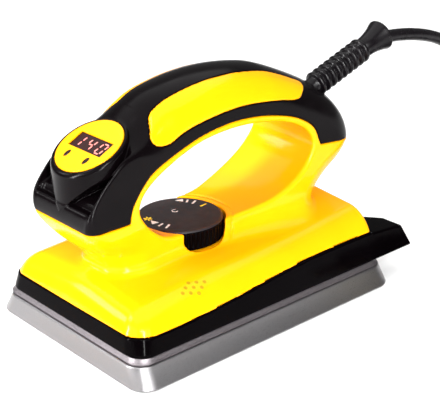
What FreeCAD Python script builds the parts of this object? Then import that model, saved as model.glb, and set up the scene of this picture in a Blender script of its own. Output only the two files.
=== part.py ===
import FreeCAD, Part
import math
import os

# Ski waxing iron: a flat aluminium sole heated by a sheathed element, a black base frame
# with a heel behind it, a yellow upper shell, a black loop handle cover with a digital
# display, a temperature dial under the handle and a mains lead.
# Millimetres. X runs along the iron with the nose at -X and the heel at +X, Y runs across
# it, Z is up. The origin is the middle of the sole's flat bottom face.

# ---- driving dimensions ----
SOLE_LENGTH, SOLE_WIDTH = 150.0, 103.0
SOLE_CORNER = 8.7
POLISHED_TOP = 9.4          # top of the polished block
SIDE_DRAFT, END_DRAFT = 4.0, 1.2
SHOULDER_BASE, SOLE_TOP = 10.0, 12.0
SHOULDER_SIDE, SHOULDER_NOSE, SHOULDER_REAR = 5.0, 2.4, 3.6

PAD_TOP = SOLE_TOP + 1.5    # insulation on the sole
SHIELD_TOP = PAD_TOP + 0.8  # reflector on the insulation
FLOOR_TOP = SHIELD_TOP + 2.0

FRAME_BOTTOM = 12.3
NOSE_X = -72.8
FRAME_HALF = 46.8
FRAME_CORNER = 9.0
HEEL_X = 93.0
HEEL_TOP_X, HEEL_TOP = 87.5, 23.2
SHELL_REAR = 67.0
WALL = 2.5
GAP = 0.3

LOOP_HALF = 20.5            # half width of the handle loop
LOOP_WALL = 2.6
CROWN_ROUND = 8.0
PILLAR_X = -44.0            # the handle's rounded crown starts behind the display pillar
PART_LEVEL = 57.8           # where the front pillar turns from yellow to black

DIAL_X = -11.5
DIAL_RADIUS, DIAL_TOP, DIAL_HEIGHT = 19.3, 43.3, 9.4
POCKET_RADIUS, POCKET_FLOOR = 21.6, 33.2
SHAFT_RADIUS = 3.0

FACE = (-58.2, 0.0, 86.9)   # middle of the display face
FACE_TILT = 27.2
FACE_RADIUS = 15.1
BOSS_HALF_X, BOSS_HALF_Y = 15.2, 17.0
INLAY_EDGE = 11.3           # half width of the black spine between the two inlays

RELIEF_BASE = (69.6, 0.0, 84.03)
RELIEF_TILT = 19.4
RELIEF_LENGTH = 50.6
CORD_RADIUS = 3.1
COIL_X, COIL_Y = 208.0, -47.0
COIL_OUTER, COIL_INNER = 52.9, 21.1
TIE_THICK = 0.6
COIL_TOP = TIE_THICK + 12.7
PLUG_X, PLUG_Y, PLUG_Z = 156.0, -92.4, 7.2
PLUG_LENGTH, PLUG_HALF_WIDTH, PLUG_HALF_HEIGHT = 34.0, 13.0, 7.2


# ---- general helpers ----
def vec(x, y, z):
    return FreeCAD.Vector(x, y, z)


def box(x0, x1, y0, y1, z0, z1):
    return Part.makeBox(x1 - x0, y1 - y0, z1 - z0, vec(x0, y0, z0))


def post(x, y, z0, z1, radius):
    return Part.makeCylinder(radius, z1 - z0, vec(x, y, z0))


def fuse(shapes):
    return shapes[0].multiFuse(shapes[1:]).removeSplitter() if len(shapes) > 1 else shapes[0]


def cut(body, tools):
    return body.cut(Part.makeCompound(tools))


def mirrored(shape):
    return shape.mirror(vec(0, 0, 0), vec(0, 1, 0))


def both_sides(shape):
    return [shape, mirrored(shape)]


def rounded_outline(x0, x1, half, radius, z):
    """A rounded rectangle at height z, as one closed wire."""
    turns = [(x1 - radius, half - radius, 0), (x0 + radius, half - radius, 90),
             (x0 + radius, radius - half, 180), (x1 - radius, radius - half, 270)]
    edges = []
    last = None
    for cx, cy, start in turns:
        arc = Part.makeCircle(radius, vec(cx, cy, z), vec(0, 0, 1), start, start + 90)
        first = arc.Vertexes[0].Point
        if last:
            edges.append(Part.makeLine(last, first))
        edges.append(arc)
        last = arc.Vertexes[-1].Point
    edges.append(Part.makeLine(last, edges[0].Vertexes[0].Point))
    return Part.Wire(edges)


def tapered_block(low, high):
    """A solid between two rounded rectangles."""
    return Part.makeLoft([rounded_outline(*low), rounded_outline(*high)], True, True)


def smooth(points, closed=False):
    """A smooth edge in the XZ plane through the points."""
    curve = Part.BSplineCurve()
    curve.interpolate([vec(x, 0, z) for x, z in points], PeriodicFlag=closed)
    return curve.toShape()


def straight(points):
    """Straight edges in the XZ plane through the points."""
    spots = [vec(x, 0, z) for x, z in points]
    return [Part.makeLine(a, b) for a, b in zip(spots, spots[1:])]


def across(face, half):
    """A face in the XZ plane, extruded to both sides of the middle."""
    moved = face.copy()
    moved.translate(vec(0, -half, 0))
    return moved.extrude(vec(0, 2 * half, 0))


def screw(x, y, head_top, head_height, head_radius, radius, length):
    """A pan head screw that points down, with a cross recess."""
    head = post(x, y, head_top - head_height, head_top, head_radius)
    shank = post(x, y, head_top - head_height - length, head_top - head_height, radius)
    slot = box(x - head_radius * 0.6, x + head_radius * 0.6, y - 0.4, y + 0.4,
               head_top - head_height * 0.45, head_top + 1)
    cross = slot.copy()
    cross.rotate(vec(x, y, 0), vec(0, 0, 1), 90)
    return cut(head.fuse(shank), [slot, cross])


def rounded_path(points):
    """Straight runs joined by tangent arcs, as large as the two runs at each corner allow."""
    spots = [vec(*p) for p in points]
    edges, here, radii = [], spots[0], []
    for before, corner, after in zip(spots, spots[1:], spots[2:]):
        back, ahead = before - corner, after - corner
        reach = 0.45 * min(back.Length, ahead.Length)
        half_turn = (math.pi - back.getAngle(ahead)) / 2
        back.normalize()
        ahead.normalize()
        start, end = corner + back * reach, corner + ahead * reach
        radius = reach / math.tan(half_turn)
        inward = back + ahead
        inward.normalize()
        centre = corner + inward * math.hypot(radius, reach)
        middle = centre - inward * radius
        edges += [Part.LineSegment(here, start).toShape(), Part.Arc(start, middle, end).toShape()]
        here = end
        radii.append(radius)
    edges.append(Part.LineSegment(here, spots[-1]).toShape())
    return Part.Wire(edges), radii


def tube(points, radius):
    """A round solid along a path of straight runs and arcs."""
    path, radii = rounded_path(points)
    start, ahead = vec(*points[0]), vec(*points[1]) - vec(*points[0])
    section = Part.Wire([Part.makeCircle(radius, start, ahead)])
    return path.makePipeShell([section], True, False), path.Length, radii


def on_display(shape):
    """Put a shape that was built at the origin, facing up, onto the tilted display face."""
    placed = shape.copy()
    tilt = FreeCAD.Rotation(vec(0, 1, 0), -FACE_TILT)
    placed.Placement = FreeCAD.Placement(vec(*FACE), tilt).multiply(placed.Placement)
    return placed


def save(node, *shapes):
    solids = [solid for shape in shapes for solid in shape.Solids]
    for solid in solids:
        if not solid.isValid() or solid.Volume < 0.05:
            raise ValueError(node + " has a bad solid")
    body = solids[0] if len(solids) == 1 else Part.makeCompound(solids)
    body.exportStep("parts/" + node + ".step")
    print(node, len(solids), "solids", round(body.Volume), "mm3")


# ---- shared outlines in the XZ plane ----
def frame_line():
    """Where the black frame ends and the yellow shell starts, seen from the side."""
    return smooth([(-80, 20), (-48, 20), (-28, 20.9), (0, 23.1), (25, 24.9), (45, 25.3), (75, 25.3)])


def above_frame_line():
    closing = straight([(75, 25.3), (110, 25.3), (110, 120), (-80, 120), (-80, 20)])
    face = Part.Face(Part.Wire([frame_line()] + closing))
    return across(face, 70)


def drawn_in(points, inset):
    """The points moved sideways, to the right of their direction of travel."""
    ends = [points[0]] + points + [points[-1]]
    moved = []
    for before, (x, z), after in zip(ends, points, ends[2:]):
        dx, dz = after[0] - before[0], after[1] - before[1]
        length = math.hypot(dx, dz)
        moved.append((x + inset * dz / length, z - inset * dx / length))
    return moved


def loop_face(inset):
    """The handle's outer side view, from the collar at the nose to the neck at the rear."""
    crown = drawn_in([(-57.0, 31.0), (-59.5, 37.0), (-65.2, 46.5), (-71.6, 55.5), (-73.5, 59.0),
                      (-73.4, 63.8), (-71.4, 69.4), (-66.2, 76.0), (-58.6, 82.8), (-50.8, 88.6),
                      (-44.5, 93.6), (-37.5, 99.0), (-28.6, 103.5), (-15.6, 106.4),
                      (-2.3, 107.7), (11.4, 107.4), (25.6, 105.4), (34.6, 102.7),
                      (47.4, 97.3), (59.8, 91.2), (68.6, 85.6), (75.4, 79.4), (80.2, 72.6),
                      (82.6, 65.8), (82.4, 60.0), (78.8, 54.5), (72.9, 49.3), (65.4, 44.6),
                      (60.0, 39.0), (58.0, 31.0)], inset)
    return Part.Face(Part.Wire([smooth(crown)] + straight([crown[-1], crown[0]])))


def opening_face(inset):
    """The side view of the finger opening between the handle and the dial, made larger."""
    ring = [(-11.0, 43.2), (-25.2, 44.0), (-38.0, 51.4), (-47.6, 58.6), (-47.4, 65.6),
            (-40.4, 72.3), (-27.0, 79.0), (-14.0, 83.0), (1.2, 84.5), (17.0, 83.6),
            (33.0, 80.3), (45.5, 74.5), (51.0, 67.3), (48.3, 60.4), (41.0, 53.4),
            (30.0, 47.8), (17.2, 44.6), (3.9, 43.3)]
    closed = drawn_in(ring[-1:] + ring + ring[:1], -inset)[1:-1]
    return Part.Face(Part.Wire([smooth(closed, True)]))


def loop_solid(inset):
    """The handle loop as one solid, with the crown behind the display pillar rounded."""
    half = LOOP_HALF - inset
    body = across(loop_face(inset).cut(opening_face(inset)).Faces[0], half)
    pillar = body.common(box(-100, PILLAR_X, -40, 40, 0, 130))
    handle = body.common(box(PILLAR_X, 100, -40, 40, 0, 130))
    crown = [e for e in handle.Edges if e.BoundBox.ZMax > 95 and e.BoundBox.YLength < 1]
    return pillar.fuse(handle.makeFillet(CROWN_ROUND - inset, crown))


def above_cover_line():
    """The space that belongs to the black handle cover rather than to the yellow shell."""
    seam = smooth([(-54.3, PART_LEVEL), (-52.5, 63.4), (-47.2, 70.6), (-40.3, 76.6),
                   (-26.0, 82.4), (-13.0, 86.0), (1.2, 87.6), (17.0, 86.8), (33.0, 83.4),
                   (43.6, 79.4), (51.8, 73.4), (55.6, 64.8)])
    rest = straight([(55.6, 64.8), (100, 60.4), (100, 130), (-90, 130),
                     (-90, PART_LEVEL), (-54.3, PART_LEVEL)])
    return across(Part.Face(Part.Wire([seam] + rest)), 40)


# ---- sole and heating ----
def sole_outline(side, nose, rear, corner, z):
    half = SOLE_LENGTH / 2
    return (nose - half, half - rear, SOLE_WIDTH / 2 - side, corner, z)


def element_points():
    """The sheathed element: up out of the sole at the rear, round the nose and back."""
    side, rear, nose, level, lift = 27.0, 52.0, -56.0, 8.0, 21.5
    return [(rear, -side, lift), (rear, -side, level), (nose, -side, level),
            (nose, side, level), (rear, side, level), (rear, side, lift)]


def element_shape(radius):
    """The bent tube; a larger radius gives the groove that it is pressed into."""
    rear, side = element_points()[0][0], element_points()[1][1]
    nose, level, lift = element_points()[2][0], element_points()[2][2], element_points()[0][2]
    bend, turn = 4.0, -side
    legs = [Part.makeCylinder(radius, lift - level - bend, vec(rear, y, level + bend))
            for y in (side, -side)]
    corners = []
    for y in (side, -side):
        ring = Part.makeTorus(bend, radius, vec(rear - bend, y, level + bend), vec(0, 1, 0))
        corners.append(ring.common(box(rear - bend, rear + 20, y - 9, y + 9, level - 9, level + bend)))
    runs = [Part.makeCylinder(radius, rear - bend - nose - turn, vec(nose + turn, y, level), vec(1, 0, 0))
            for y in (side, -side)]
    hoop = Part.makeTorus(turn, radius, vec(nose + turn, 0, level), vec(0, 0, 1))
    hoop = hoop.common(box(nose - 20, nose + turn, -60, 60, 0, 30))
    return fuse(legs + corners + runs + [hoop])


ELEMENT_RADIUS = 3.3
SOLE_SCREWS = [(x, y) for x in (-60.0, 60.0) for y in (-37.0, 37.0)]
SHELL_SCREWS = [(x, y) for x in (-40.0, 30.0) for y in (-38.0, 38.0)]
BOARD_X, BOARD_LENGTH, BOARD_HALF = -14.0, 58.0, 21.0
BOARD_BOTTOM = 19.3
BOARD_SCREWS = [(BOARD_X + sx * 25.0, sy * 17.5) for sx in (-1, 1) for sy in (-1, 1)]
FUSE = (18.0, -12.0)
SENSOR = (-30.0, 12.0)


def make_sole():
    block = tapered_block(sole_outline(0, 0, 0, SOLE_CORNER, 0),
                          sole_outline(SIDE_DRAFT, END_DRAFT, 1.6, SOLE_CORNER - 1.2, POLISHED_TOP))
    neck = tapered_block(sole_outline(SHOULDER_SIDE, SHOULDER_NOSE, SHOULDER_REAR, 7.2, POLISHED_TOP),
                         sole_outline(SHOULDER_SIDE, SHOULDER_NOSE, SHOULDER_REAR, 7.2, SHOULDER_BASE))
    shoulder = tapered_block(sole_outline(4.2, 1.6, 2.6, 7.6, SHOULDER_BASE),
                             sole_outline(5.2, 3.0, 3.8, 7.0, SOLE_TOP))
    body = fuse([block, neck, shoulder])
    groove = element_shape(ELEMENT_RADIUS).fuse(box(-58, -50, -1, 1, SOLE_TOP, SOLE_TOP + 1))
    holes = [post(x, y, 4.0, SOLE_TOP + 1, 1.9) for x, y in SOLE_SCREWS]
    save("sole_plate", cut(body, [groove] + holes))
    save("heating_element", element_shape(ELEMENT_RADIUS))


def sheet_openings(low, high):
    """What passes through the insulation, the shield and the frame's floor."""
    legs = [post(52.0, y, low, high, ELEMENT_RADIUS + GAP) for y in (-27.0, 27.0)]
    screws = [post(x, y, low, high, 2.2) for x, y in SOLE_SCREWS]
    windows = [box(FUSE[0] - 9, FUSE[0] + 9, FUSE[1] - 5, FUSE[1] + 5, low, high),
               box(SENSOR[0] - 7, SENSOR[0] + 7, SENSOR[1] - 5, SENSOR[1] + 5, low, high)]
    return legs + screws + windows


def make_insulation():
    low = sole_outline(8.0, 6.0, 7.0, 6.0, SOLE_TOP)
    high = low[:4] + (PAD_TOP,)
    save("insulation_pad", cut(tapered_block(low, high), sheet_openings(SOLE_TOP - 1, PAD_TOP + 1)))
    low, high = low[:4] + (PAD_TOP,), low[:4] + (SHIELD_TOP,)
    save("heat_shield", cut(tapered_block(low, high), sheet_openings(PAD_TOP - 1, SHIELD_TOP + 1)))


def make_heat_sensing():
    x, y = FUSE
    capsule = Part.makeCylinder(2.0, 11, vec(x - 5.5, y, SOLE_TOP + 2.0), vec(1, 0, 0))
    leads = Part.makeCylinder(0.5, 17, vec(x - 8.5, y, SOLE_TOP + 2.0), vec(1, 0, 0))
    save("thermal_fuse", capsule.fuse(leads))
    x, y = SENSOR
    bead = Part.makeCylinder(1.5, 7, vec(x - 3.5, y, SOLE_TOP + 1.5), vec(1, 0, 0))
    save("temperature_sensor", bead)


# ---- base frame ----
def frame_solid(inset):
    """The frame's outside, filled to its curved top edge; inset draws its walls in."""
    low = (NOSE_X + inset, 120.0, FRAME_HALF - inset, FRAME_CORNER - inset, FRAME_BOTTOM)
    high = (NOSE_X + 1.9 + inset, 120.0, FRAME_HALF - 3.2 - inset, FRAME_CORNER - 1 - inset, 30.0)
    return tapered_block(low, high)


def make_base_frame():
    heel = straight([(60, 0), (HEEL_X + 6.2, 0), (HEEL_TOP_X, HEEL_TOP), (SHELL_REAR, 24.8),
                     (60, 25.3)])
    side = Part.Face(Part.Wire(heel + straight([(60, 25.3), (60, 0)])))
    body = frame_solid(0).common(fuse([box(-80, 60, -60, 60, 0, 40), across(side, 60)]))
    body = body.cut(above_frame_line())
    notch = Part.makePolygon([vec(110, -52, 0), vec(87.4, -32.5, 0), vec(80.0, -25, 0),
                              vec(80.0, 25, 0), vec(87.4, 32.5, 0), vec(110, 52, 0), vec(110, -52, 0)])
    notch = Part.Face(notch).extrude(vec(0, 0, 60))
    hollow = frame_solid(WALL).common(box(-90, SHELL_REAR - WALL, -60, 60, FLOOR_TOP, 60))
    under = frame_solid(WALL).common(box(-90, 72.0, -60, 60, 0, SHIELD_TOP))
    cores = both_sides(box(76.0, 84.5, 30.0, 41.5, 0, 19.5))
    body = cut(body, [notch, hollow, under] + cores + sheet_openings(SHIELD_TOP - 1, FLOOR_TOP + 1))
    posts = [post(x, y, FLOOR_TOP - 0.5, BOARD_BOTTOM, 3.0) for x, y in BOARD_SCREWS]
    bosses = [post(x, y, FLOOR_TOP - 0.5, 20.0, 3.4) for x, y in SHELL_SCREWS]
    body = fuse([body] + posts + bosses)
    drills = [post(x, y, FLOOR_TOP - 1, BOARD_BOTTOM + 1, 0.9) for x, y in BOARD_SCREWS]
    drills += [post(x, y, SHIELD_TOP - 1, 22.0, 1.75) for x, y in SHELL_SCREWS]
    drills += [post(x, y, SHIELD_TOP - 1, FLOOR_TOP - 0.3, 3.0) for x, y in SHELL_SCREWS]
    save("base_frame", cut(body, drills))


# ---- yellow shell and black cover ----
def skirt_solid(inset):
    """The broad lower part of the yellow shell, filled."""
    low = (-71.9 + inset, SHELL_REAR - inset, 45.2 - inset, 10.0, 18.0)
    middle = (-70.4 + inset, SHELL_REAR - 0.6 - inset, 43.6 - inset, 10.0, 27.0)
    high = (-61.0 + inset, SHELL_REAR - 3 - inset, 33.0 - inset, 12.0, 34.4 - inset)
    body = tapered_block(low, middle).fuse(tapered_block(middle, high))
    return body.removeSplitter()


def thumb_notches():
    """Where the shell is cut down beside the dial, so that a thumb reaches its rim."""
    return both_sides(box(DIAL_X - 13, DIAL_X + 16, 12, 40, POCKET_FLOOR, 60))


def make_upper_shell(loop, loop_hollow, cover_space):
    outside = skirt_solid(0).fuse(loop.cut(cover_space))
    throat_half = LOOP_HALF - LOOP_WALL
    throat = box(-53.5, 54.9, -throat_half, throat_half, 30.0, 33.0)
    inside = fuse([skirt_solid(WALL), throat, loop_hollow.common(box(-100, 100, -40, 40, 31, 120))])
    pocket_wall = post(DIAL_X, 0, POCKET_FLOOR - WALL, 60, POCKET_RADIUS + 1.5)
    inside = inside.cut(pocket_wall)
    body = outside.common(above_frame_line()).cut(inside)
    pocket = post(DIAL_X, 0, POCKET_FLOOR, 60, POCKET_RADIUS)
    bushing = post(DIAL_X, 0, 20, 60, 3.55)
    body = cut(body, [pocket, bushing] + thumb_notches())
    pillars = []
    for x, y in SHELL_SCREWS:
        pillars.append(post(x, y, 20.3, 28.2, 3.4).cut(post(x, y, 20.0, 26.0, 1.2)))
    body = fuse([body] + pillars)
    save("upper_shell", max(body.Solids, key=lambda solid: solid.Volume))


def boss_solid(shrink, low, below_face):
    """The upright oval boss under the display, cut off parallel to the display face."""
    cx = FACE[0]
    oval = Part.Ellipse(vec(cx, BOSS_HALF_Y - shrink, low), vec(cx + BOSS_HALF_X - shrink, 0, low),
                        vec(cx, 0, low)).toShape()
    body = Part.Face(Part.Wire([oval])).extrude(vec(0, 0, 60))
    lid = on_display(box(-60, 60, -60, 60, -below_face, 60))
    return body.cut(lid)


def inlay_region():
    """The side view of a yellow inlay; its upper edge lies beside the black spine."""
    edge = smooth([(-32.0, 86.3), (-24.0, 89.8), (-13.0, 92.0), (0.0, 93.4), (12.0, 93.4),
                   (28.0, 91.5), (37.0, 89.4)])
    rest = straight([(37.0, 89.4), (43.0, 88.9), (50.5, 92.0), (62.0, 120), (-36.5, 120),
                     (-40.5, 90.5), (-39.5, 87.3), (-36.5, 86.0), (-32.0, 86.3)])
    return across(Part.Face(Part.Wire([edge] + rest)), 40)


def make_cover(loop, loop_hollow, cover_space):
    walls = loop.cut(loop_hollow)
    recess = box(-80, -43, -17.6, 17.6, 63.8, 93)
    void = across(loop_face(0).cut(loop_face(5.0)), 30).common(recess)
    floor = across(loop_face(5.0).cut(loop_face(7.6)), 18.5).common(
        box(-80, -43, -18.5, 18.5, 61.5, 94))
    boss = boss_solid(0, 59.0, -1.0)
    front = fuse([walls.common(cover_space).cut(void), floor,
                  boss.common(cover_space).common(box(-73.3, 0, -30, 30, 58, 110))])
    seat = on_display(Part.makeCylinder(FACE_RADIUS + 0.1, 10, vec(0, 0, -1.6)))
    hollow = boss_solid(2.2, 50.0, 3.6)
    window = on_display(Part.makeCylinder(12.6, 12, vec(0, 0, -5)))
    body = cut(front, [seat, hollow, window, loop_hollow.common(cover_space).common(
        box(-43, 100, -40, 40, 50, 120))])
    inner = loop_solid(1.4)
    inlays = []
    for name, slab in (("left_inlay", box(-60, 80, INLAY_EDGE, 40, 70, 120)),
                       ("right_inlay", box(-60, 80, -40, -INLAY_EDGE, 70, 120))):
        inlay = loop.cut(inner).common(inlay_region()).common(slab)
        inlays.append(inlay)
        save(name, inlay)
    relief_hole = relief_shape(fuse([post(0, 0, -20, 10, 4.6), post(0, 0, 2.0, 10, 6.2)]))
    body = cut(body, inlays + [relief_hole])
    save("handle_cover", max(body.Solids, key=lambda solid: solid.Volume))


# ---- display ----
def make_display():
    disc = Part.makeCylinder(FACE_RADIUS, 1.4, vec(0, 0, -1.6))
    window = box(-4.15, 4.15, -10.8, 10.8, -3, 1)
    window.translate(vec(0.9, 0, 0))
    lights = [Part.makeCylinder(1.0, 4, vec(-7.2, y, -3)) for y in (-6.2, 6.2)]
    save("display_face", on_display(cut(disc, [window] + lights)))
    lens = box(-4.05, 4.05, -10.7, 10.7, -1.6, -0.5)
    lens.translate(vec(0.9, 0, 0))
    save("display_window", on_display(lens))
    save("indicator_lenses", *[on_display(Part.makeCylinder(0.95, 1.5, vec(-7.2, y, -1.6)))
                               for y in (-6.2, 6.2)])
    module = box(-4.0, 4.9, -11.3, 11.3, -8.6, -1.8)
    save("display_module", on_display(module.common(Part.makeCylinder(12.4, 30, vec(0, 0, -15)))))
    board = Part.makeCylinder(11.6, 1.6, vec(0, 0, -10.3)).common(box(-9.5, 4.5, -9.8, 9.8, -12, 0))
    save("display_board", on_display(board))


# ---- dial, potentiometer and electronics ----
def make_dial():
    low = DIAL_TOP - DIAL_HEIGHT
    body = post(DIAL_X, 0, low, DIAL_TOP, DIAL_RADIUS)
    rims = [e for e in body.Edges if e.BoundBox.ZLength < 0.01 and e.BoundBox.XLength > 30]
    body = body.makeChamfer(0.7, rims)
    hollow = post(DIAL_X, 0, low - 1, DIAL_TOP - 2.4, DIAL_RADIUS - 2.2)
    hub = post(DIAL_X, 0, low + 2.4, DIAL_TOP - 1.2, 5.6)
    grooves = []
    for k in range(48):
        groove = post(DIAL_X + DIAL_RADIUS + 0.25, 0, low + 1.2, DIAL_TOP - 1.6, 0.55)
        groove.rotate(vec(DIAL_X, 0, 0), vec(0, 0, 1), 360 / 48 * k)
        grooves.append(groove)
    shaft_hole = post(DIAL_X, 0, low, DIAL_TOP - 2.2, SHAFT_RADIUS)
    body = cut(fuse([body.cut(hollow), hub]), [shaft_hole] + grooves)
    save("temperature_dial", body)
    save("dial_shaft", post(DIAL_X, 0, 24.0, DIAL_TOP - 2.2, SHAFT_RADIUS))


def make_potentiometer():
    floor = POCKET_FLOOR - WALL
    body = post(DIAL_X, 0, BOARD_BOTTOM + 1.6, floor, 8.5)
    bushing = post(DIAL_X, 0, floor - 1, POCKET_FLOOR + 2.6, 3.5)
    bore = post(DIAL_X, 0, 22.5, 60, SHAFT_RADIUS + 0.05)
    save("potentiometer", body.fuse(bushing).cut(bore))
    corners = [vec(DIAL_X + 5.2 * math.cos(math.radians(60 * k)),
                   5.2 * math.sin(math.radians(60 * k)), POCKET_FLOOR) for k in range(7)]
    nut = Part.Face(Part.makePolygon(corners)).extrude(vec(0, 0, 2.0))
    save("potentiometer_nut", nut.cut(post(DIAL_X, 0, 30, 60, 3.5)))


def make_board():
    board = box(BOARD_X - BOARD_LENGTH / 2, BOARD_X + BOARD_LENGTH / 2, -BOARD_HALF, BOARD_HALF,
                BOARD_BOTTOM, BOARD_BOTTOM + 1.6)
    drills = [post(x, y, 0, 40, 1.2) for x, y in BOARD_SCREWS]
    save("control_board", cut(board, drills))
    save("board_screws", *[screw(x, y, BOARD_BOTTOM + 3.4, 1.8, 2.2, 0.9, 4.0)
                           for x, y in BOARD_SCREWS])
    relay = box(8.0, 14.0, -15, 5, BOARD_BOTTOM + 1.6, BOARD_BOTTOM + 8.0)
    capacitor = post(-30, -9, BOARD_BOTTOM + 1.6, BOARD_BOTTOM + 9.0, 4.0)
    chip = box(-38, -30, 4, 12, BOARD_BOTTOM + 1.6, BOARD_BOTTOM + 3.4)
    save("board_components", relay, capacitor, chip)


def make_terminals():
    block = box(26, 44, -15, 15, FLOOR_TOP, FLOOR_TOP + 9.5)
    sockets = [post(x, y, FLOOR_TOP + 5, FLOOR_TOP + 12, 1.9) for x in (30, 40) for y in (-10, 0, 10)]
    save("terminal_block", cut(block, sockets))
    save("terminal_screws", *[screw(x, y, FLOOR_TOP + 7.5, 1.2, 1.8, 1.0, 0.8)
                              for x in (30, 40) for y in (-10, 0, 10)])


def make_wiring():
    """The leads inside: mains to the terminals, terminals to the element, board to display."""
    mains = []
    for k in (-1, 0, 1):
        mains.append(tube([(58.8, 3.2 * k, 80.2), (56.2, 3.4 * k, 75.5), (59, 4 * k, 63),
                           (56, 4 * k, 49), (51, 6 * k, 37), (49.5, 8 * k, 26),
                           (44, 10 * k, FLOOR_TOP + 2.6)], 1.2)[0].cut(box(26, 44, -15, 15, 0, 40)))
    save("mains_wires", *mains)
    heater = []
    for k in (-1, 1):
        heater.append(tube([(52, 27 * k, 21.5), (52, 27 * k, 26.5), (46, 20.5 * k, 27.5),
                            (38, 15.5 * k, 23.5)], 1.3)[0].cut(box(26, 44, -15, 15, 0, 40)))
    save("heater_wires", *heater)
    ribbon = tube([(-40.5, 0, BOARD_BOTTOM + 1.6), (-40.5, 0, 29), (-49, 0, 38.5), (-57.5, 0, 50),
                   (-56.0, 0, 62), (-50.8, 0, 72.4), (-53.4, 0, 77.5)], 1.5)[0]
    save("display_lead", ribbon)


# ---- fasteners ----
def make_screws():
    save("sole_screws", *[screw(x, y, FLOOR_TOP + 2.2, 2.2, 3.4, 1.9, 10.0) for x, y in SOLE_SCREWS])
    shell_screws = []
    for x, y in SHELL_SCREWS:
        one = screw(0, 0, 0, 1.3, 2.9, 1.2, 9.4)
        one.rotate(vec(0, 0, 0), vec(1, 0, 0), 180)
        one.translate(vec(x, y, SHIELD_TOP + 0.3))
        shell_screws.append(one)
    save("shell_screws", *shell_screws)


# ---- mains lead ----
def relief_shape(shape):
    """Put a shape built along +Z from the origin onto the strain relief's axis."""
    placed = shape.copy()
    tilt = FreeCAD.Rotation(vec(0, 1, 0), 90 - RELIEF_TILT)
    placed.Placement = FreeCAD.Placement(vec(*RELIEF_BASE), tilt).multiply(placed.Placement)
    return placed


def relief_axis(distance, sideways=0.0):
    tilt = math.radians(RELIEF_TILT)
    x = RELIEF_BASE[0] + distance * math.cos(tilt) - sideways * math.sin(tilt)
    return (x, 0.0, RELIEF_BASE[2] + distance * math.sin(tilt) + sideways * math.cos(tilt))


def make_strain_relief():
    stem = [post(0, 0, -8.0, 36.0, 4.5)]
    ribs = [Part.makeTorus(4.6, 1.4, vec(0, 0, 3.6 + 3.9 * k)) for k in range(9)]
    flare = smooth([(5.2, 35.0), (5.5, 39.5), (6.4, 44.5), (7.9, RELIEF_LENGTH - 0.8)])
    closing = straight([(7.9, RELIEF_LENGTH - 0.8), (7.4, RELIEF_LENGTH), (0, RELIEF_LENGTH),
                        (0, 35.0), (5.2, 35.0)])
    bell = Part.Face(Part.Wire([flare] + closing)).revolve(vec(0, 0, 0), vec(0, 0, 1), 360)
    flange = post(0, 0, -10.5, -8.0, 6.4)
    body = fuse(stem + ribs + [bell, flange])
    mouth = Part.makeCone(CORD_RADIUS + 0.3, 6.6, 14.0, vec(0, 0, RELIEF_LENGTH - 13.0))
    bore = post(0, 0, 32.0, 42.0, CORD_RADIUS)
    save("strain_relief", relief_shape(cut(body, [mouth, bore])))


def cord_points():
    """The lead's route from inside the strain relief to the coil."""
    return [relief_axis(32.0), (114.5, 0, 99.5), (130, 0, 98.7), (146, 0, 96.2), (163, 0.5, 91.4),
            (181, 1.5, 82.5), (199.5, 1.2, 68.5), (217, -1.0, 50.5), (232, -6.8, 33.0),
            (244.8, -17.3, 19.5), (254, -31.5, 12.0), (257.8, -49, 10.1)]


def tail_points():
    """The lead's end, from the coil to the plug."""
    low = TIE_THICK + CORD_RADIUS
    return [(226, -95.5, low), (207, -99.3, low), (189, -99.8, 3.9), (174, -96.2, 5.2),
            (165, -93.6, 6.4), (156, -92.4, 7.2)]


def make_cord():
    route = cord_points()
    lead, length, radii = tube(route, CORD_RADIUS)
    print("lead", round(length, 1), "mm long, radii", [round(r) for r in radii],
          "volume over section times length", round(lead.Volume / (math.pi * CORD_RADIUS ** 2 * length), 4))
    ring = post(COIL_X, COIL_Y, TIE_THICK, COIL_TOP, COIL_OUTER).cut(
        post(COIL_X, COIL_Y, 0, COIL_TOP + 1, COIL_INNER))
    save("cord", lead.cut(ring))
    save("cord_coil", ring)
    tail, length, radii = tube(tail_points(), CORD_RADIUS)
    print("tail", round(length, 1), "mm long, radii", [round(r) for r in radii])
    save("cord_end", tail.cut(ring))
    band = box(COIL_INNER - 1, COIL_OUTER + 1, -6, 6, 0, COIL_TOP + TIE_THICK)
    band.translate(vec(COIL_X, COIL_Y, 0))
    band.rotate(vec(COIL_X, COIL_Y, 0), vec(0, 0, 1), 180)
    save("cord_tie", band.cut(ring))


def make_plug():
    boot_length = 26.0
    boot = Part.makeCone(CORD_RADIUS + 1.2, 6.0, boot_length, vec(PLUG_X, PLUG_Y, PLUG_Z), vec(-1, 0, 0))
    rings = [Part.makeTorus(4.4 + 0.25 * k, 0.9, vec(PLUG_X - 4 - 3.6 * k, PLUG_Y, PLUG_Z), vec(1, 0, 0))
             for k in range(5)]
    front = PLUG_X - boot_length - PLUG_LENGTH
    body = box(front, front + PLUG_LENGTH, PLUG_Y - PLUG_HALF_WIDTH, PLUG_Y + PLUG_HALF_WIDTH,
               PLUG_Z - PLUG_HALF_HEIGHT, PLUG_Z + PLUG_HALF_HEIGHT)
    lengthwise = [e for e in body.Edges if e.BoundBox.XLength > 10]
    body = body.makeFillet(4.0, lengthwise)
    back = [e for e in body.Edges if e.BoundBox.XMin > front + PLUG_LENGTH - 0.01]
    body = body.makeFillet(2.5, back)
    save("plug_body", fuse([body, boot] + rings))
    pins = []
    for y, z in ((-9.5, 1.5), (9.5, 1.5), (0.0, -3.5)):
        pins.append(Part.makeCylinder(2.0, 19, vec(front, PLUG_Y + y, PLUG_Z + z), vec(-1, 0, 0)))
    save("plug_pins", *pins)


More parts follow.
